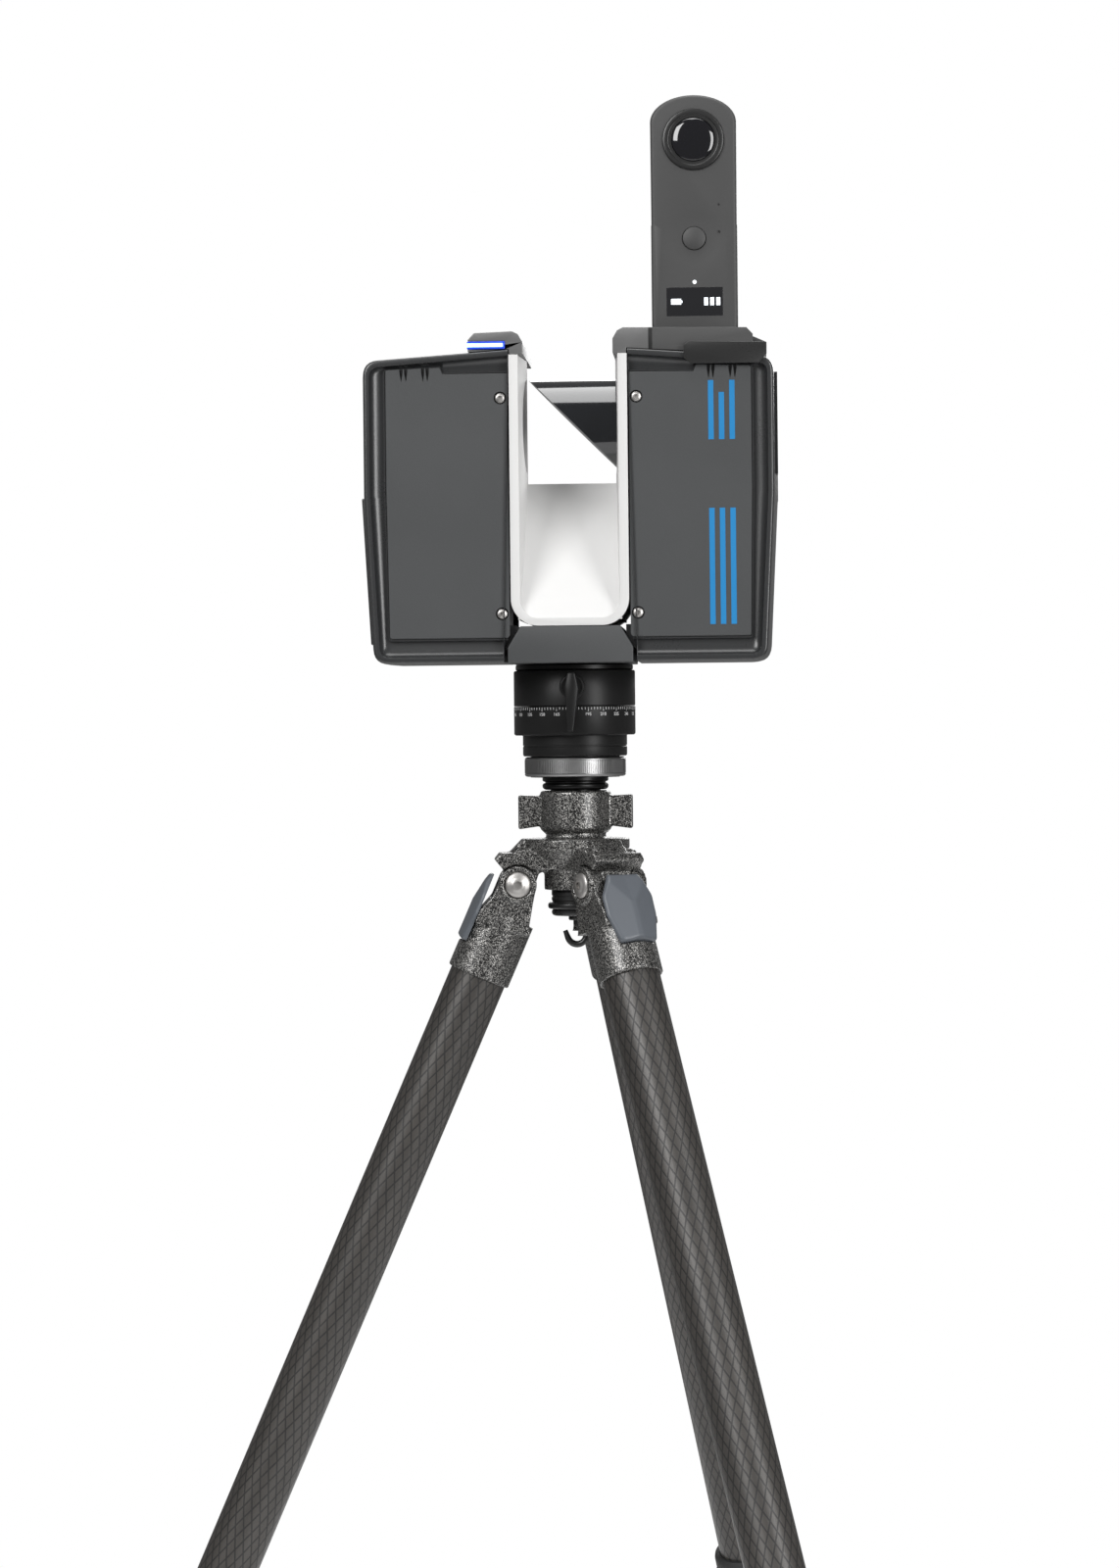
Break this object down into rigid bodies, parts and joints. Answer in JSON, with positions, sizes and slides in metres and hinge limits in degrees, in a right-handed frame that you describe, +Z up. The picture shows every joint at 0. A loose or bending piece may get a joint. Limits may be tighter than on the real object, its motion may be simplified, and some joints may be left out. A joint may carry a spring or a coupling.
{
  "type": "terrestrial laser scanner on tripod",
  "caption": "Two-column laser scanner with a spinning mirror between its columns and an upright two-lens camera, on a folding carbon-fibre tripod.",
  "frame": {"origin": "on the floor, under the scanner's vertical turning axis", "axes": "+Z up, the scanner's front faces -Y, +X to the right seen from the front"},
  "size_m": [0.4713, 0.516, 1.0073],
  "materials": {
    "hammertone": "dark grey hammertone enamel",
    "carbon": "semi-gloss carbon-fibre weave",
    "grip_rubber": "ribbed matte rubber",
    "foot_rubber": "matte rubber",
    "latch_plastic": "satin slate-grey plastic",
    "bolt_steel": "satin stainless steel",
    "black_metal": "black anodised",
    "ring_silver": "satin, knurled",
    "adapter_black": "black anodised, satin",
    "frame_silver": "satin silver paint",
    "case_dark": "satin dark grey",
    "panel_grey": "fine-textured dark grey",
    "cap_grey": "satin metallic grey",
    "mirror_black": "polished black barrel with a mirror face",
    "dark_glass": "coated dark glass",
    "light_blue": "glowing pale-blue diffuser",
    "inner_metal": "plain machined",
    "board_green": "printed circuit board",
    "battery_black": "matte battery case",
    "camera_grey": "fine matte dark grey",
    "lens_black": "gloss black lens and bezel"
  },
  "bodies": {
    "tripod_hub": {"tripod_hub": "hammertone", "leg_pivot_bolts": "bolt_steel"},
    "leg_1": {"leg_1_casting": "hammertone", "leg_1_upper_tube": "carbon"},
    "leg_1_latch": {"leg_1_angle_latch": "latch_plastic"},
    "leg_1_upper_lock": {"leg_1_upper_twist_lock": "grip_rubber"},
    "leg_1_middle": {"leg_1_middle_tube": "carbon"},
    "leg_1_lower_lock": {"leg_1_lower_twist_lock": "grip_rubber"},
    "leg_1_lower": {"leg_1_lower_tube": "carbon"},
    "leg_1_foot": {"leg_1_foot_pad": "foot_rubber"},
    "leg_2": {"leg_2_casting": "hammertone", "leg_2_upper_tube": "carbon"},
    "leg_2_latch": {"leg_2_angle_latch": "latch_plastic"},
    "leg_2_upper_lock": {"leg_2_upper_twist_lock": "grip_rubber"},
    "leg_2_middle": {"leg_2_middle_tube": "carbon"},
    "leg_2_lower_lock": {"leg_2_lower_twist_lock": "grip_rubber"},
    "leg_2_lower": {"leg_2_lower_tube": "carbon"},
    "leg_2_foot": {"leg_2_foot_pad": "foot_rubber"},
    "leg_3": {"leg_3_casting": "hammertone", "leg_3_upper_tube": "carbon"},
    "leg_3_latch": {"leg_3_angle_latch": "latch_plastic"},
    "leg_3_upper_lock": {"leg_3_upper_twist_lock": "grip_rubber"},
    "leg_3_middle": {"leg_3_middle_tube": "carbon"},
    "leg_3_lower_lock": {"leg_3_lower_twist_lock": "grip_rubber"},
    "leg_3_lower": {"leg_3_lower_tube": "carbon"},
    "leg_3_foot": {"leg_3_foot_pad": "foot_rubber"},
    "collar": {"column_lock_collar": "hammertone"},
    "column": {"column_tube": "black_metal", "column_top_plate": "black_metal", "column_end_cap": "black_metal", "adapter_base": "adapter_black"},
    "hook": {"weight_hook": "black_metal"},
    "lock_ring": {"thread_ring": "ring_silver"},
    "adapter_turntable": {"adapter_head": "adapter_black", "azimuth_bearing": "adapter_black"},
    "adapter_knob": {"adapter_lock_knob": "adapter_black"},
    "scanner": {"centre_cover": "panel_grey", "centre_frame": "frame_silver", "left_shell": "case_dark", "right_shell": "case_dark", "left_front_panel": "panel_grey", "left_rear_panel": "panel_grey", "right_front_panel": "panel_grey", "right_rear_panel": "panel_grey", "panel_screws": "bolt_steel", "mirror_motor": "inner_metal", "laser_window": "dark_glass", "laser_unit": "inner_metal", "light_housing": "cap_grey", "status_light": "light_blue", "battery": "battery_black", "touch_screen": "dark_glass", "circuit_board": "board_green", "camera_mount": "cap_grey", "camera_body": "camera_grey", "camera_lenses": "lens_black"},
    "mirror": {"mirror": "mirror_black"},
    "battery_door": {"battery_door": "case_dark"},
    "power_button": {"power_button": "cap_grey"},
    "shutter": {"camera_button": "camera_grey"}
  },
  "joints": [
    {"name": "leg_1_fold", "type": "hinge", "parent": "tripod_hub", "child": "leg_1", "pos_m": [-0.0332, -0.00261, 0.56807], "axis": [0.0785, -0.9969, 0], "range_deg": [0, 22]},
    {"name": "leg_1_latch_pull", "type": "slide", "parent": "leg_1", "child": "leg_1_latch", "axis": [-0.9142, -0.072, 0.3987], "range_m": [0, 0.006], "stiffness_N_per_m": 400},
    {"name": "leg_1_upper_lock_turn", "type": "hinge", "parent": "leg_1", "child": "leg_1_upper_lock", "pos_m": [-0.0332, -0.00261, 0.56807], "axis": [-0.3975, -0.0313, -0.9171], "range_deg": [0, 90]},
    {"name": "leg_1_middle_slide", "type": "slide", "parent": "leg_1", "child": "leg_1_middle", "axis": [-0.3975, -0.0313, -0.9171], "range_m": [0, 0.36]},
    {"name": "leg_1_lower_lock_turn", "type": "hinge", "parent": "leg_1_middle", "child": "leg_1_lower_lock", "pos_m": [-0.0332, -0.00261, 0.56807], "axis": [-0.3975, -0.0313, -0.9171], "range_deg": [0, 90]},
    {"name": "leg_1_lower_slide", "type": "slide", "parent": "leg_1_middle", "child": "leg_1_lower", "axis": [-0.3975, -0.0313, -0.9171], "range_m": [0, 0.36]},
    {"name": "leg_1_foot_swivel", "type": "hinge", "parent": "leg_1_lower", "child": "leg_1_foot", "pos_m": [-0.2725, -0.02145, 0.016], "axis": [0.0785, -0.9969, 0], "range_deg": [-60, 15]},
    {"name": "leg_2_fold", "type": "hinge", "parent": "tripod_hub", "child": "leg_2", "pos_m": [0.01886, -0.02744, 0.56807], "axis": [0.8241, 0.5664, 0], "range_deg": [0, 22]},
    {"name": "leg_2_latch_pull", "type": "slide", "parent": "leg_2", "child": "leg_2_latch", "axis": [0.5194, -0.7558, 0.3987], "range_m": [0, 0.006], "stiffness_N_per_m": 400},
    {"name": "leg_2_upper_lock_turn", "type": "hinge", "parent": "leg_2", "child": "leg_2_upper_lock", "pos_m": [0.01886, -0.02744, 0.56807], "axis": [0.2259, -0.3286, -0.9171], "range_deg": [0, 90]},
    {"name": "leg_2_middle_slide", "type": "slide", "parent": "leg_2", "child": "leg_2_middle", "axis": [0.2259, -0.3286, -0.9171], "range_m": [0, 0.36]},
    {"name": "leg_2_lower_lock_turn", "type": "hinge", "parent": "leg_2_middle", "child": "leg_2_lower_lock", "pos_m": [0.01886, -0.02744, 0.56807], "axis": [0.2259, -0.3286, -0.9171], "range_deg": [0, 90]},
    {"name": "leg_2_lower_slide", "type": "slide", "parent": "leg_2_middle", "child": "leg_2_lower", "axis": [0.2259, -0.3286, -0.9171], "range_m": [0, 0.36]},
    {"name": "leg_2_foot_swivel", "type": "hinge", "parent": "leg_2_lower", "child": "leg_2_foot", "pos_m": [0.15482, -0.22527, 0.016], "axis": [0.8241, 0.5664, 0], "range_deg": [-60, 15]},
    {"name": "leg_3_fold", "type": "hinge", "parent": "tripod_hub", "child": "leg_3", "pos_m": [0.01434, 0.03006, 0.56807], "axis": [-0.9026, 0.4305, 0], "range_deg": [0, 22]},
    {"name": "leg_3_latch_pull", "type": "slide", "parent": "leg_3", "child": "leg_3_latch", "axis": [0.3948, 0.8277, 0.3987], "range_m": [0, 0.006], "stiffness_N_per_m": 400},
    {"name": "leg_3_upper_lock_turn", "type": "hinge", "parent": "leg_3", "child": "leg_3_upper_lock", "pos_m": [0.01434, 0.03006, 0.56807], "axis": [0.1717, 0.3599, -0.9171], "range_deg": [0, 90]},
    {"name": "leg_3_middle_slide", "type": "slide", "parent": "leg_3", "child": "leg_3_middle", "axis": [0.1717, 0.3599, -0.9171], "range_m": [0, 0.36]},
    {"name": "leg_3_lower_lock_turn", "type": "hinge", "parent": "leg_3_middle", "child": "leg_3_lower_lock", "pos_m": [0.01434, 0.03006, 0.56807], "axis": [0.1717, 0.3599, -0.9171], "range_deg": [0, 90]},
    {"name": "leg_3_lower_slide", "type": "slide", "parent": "leg_3_middle", "child": "leg_3_lower", "axis": [0.1717, 0.3599, -0.9171], "range_m": [0, 0.36]},
    {"name": "leg_3_foot_swivel", "type": "hinge", "parent": "leg_3_lower", "child": "leg_3_foot", "pos_m": [0.11768, 0.24672, 0.016], "axis": [-0.9026, 0.4305, 0], "range_deg": [-60, 15]},
    {"name": "collar_turn", "type": "hinge", "parent": "tripod_hub", "child": "collar", "pos_m": [0, 0, 0.56807], "axis": [0, 0, 1], "range_deg": [0, 90]},
    {"name": "column_slide", "type": "slide", "parent": "tripod_hub", "child": "column", "axis": [0, 0, 1], "range_m": [0, 0.006]},
    {"name": "hook_swivel", "type": "hinge", "parent": "column", "child": "hook", "pos_m": [0, 0, 0.56807], "axis": [0, 0, 1], "continuous": true},
    {"name": "lock_ring_turn", "type": "hinge", "parent": "column", "child": "lock_ring", "pos_m": [0, 0, 0.56807], "axis": [0, 0, 1], "range_deg": [0, 180]},
    {"name": "adapter_turn", "type": "hinge", "parent": "column", "child": "adapter_turntable", "pos_m": [0, 0, 0.56807], "axis": [0, 0, 1], "continuous": true},
    {"name": "knob_turn", "type": "hinge", "parent": "adapter_turntable", "child": "adapter_knob", "pos_m": [0, -0.034, 0.67797], "axis": [0, -1, 0], "range_deg": [0, 90]},
    {"name": "head_turn", "type": "hinge", "parent": "adapter_turntable", "child": "scanner", "pos_m": [0, 0, 0.69097], "axis": [0, 0, 1], "continuous": true},
    {"name": "mirror_spin", "type": "hinge", "parent": "scanner", "child": "mirror", "pos_m": [0, 0, 0.82387], "axis": [1, 0, 0], "continuous": true},
    {"name": "battery_door_hinge", "type": "hinge", "parent": "scanner", "child": "battery_door", "pos_m": [-0.11055, 0, 0.70197], "axis": [0, -1, 0], "range_deg": [0, 95]},
    {"name": "power_press", "type": "slide", "parent": "scanner", "child": "power_button", "axis": [-1, 0, 0], "range_m": [0, 0.001], "stiffness_N_per_m": 800},
    {"name": "shutter_press", "type": "slide", "parent": "scanner", "child": "shutter", "axis": [0, 1, 0], "range_m": [0, 0.0006], "stiffness_N_per_m": 800}
  ]
}
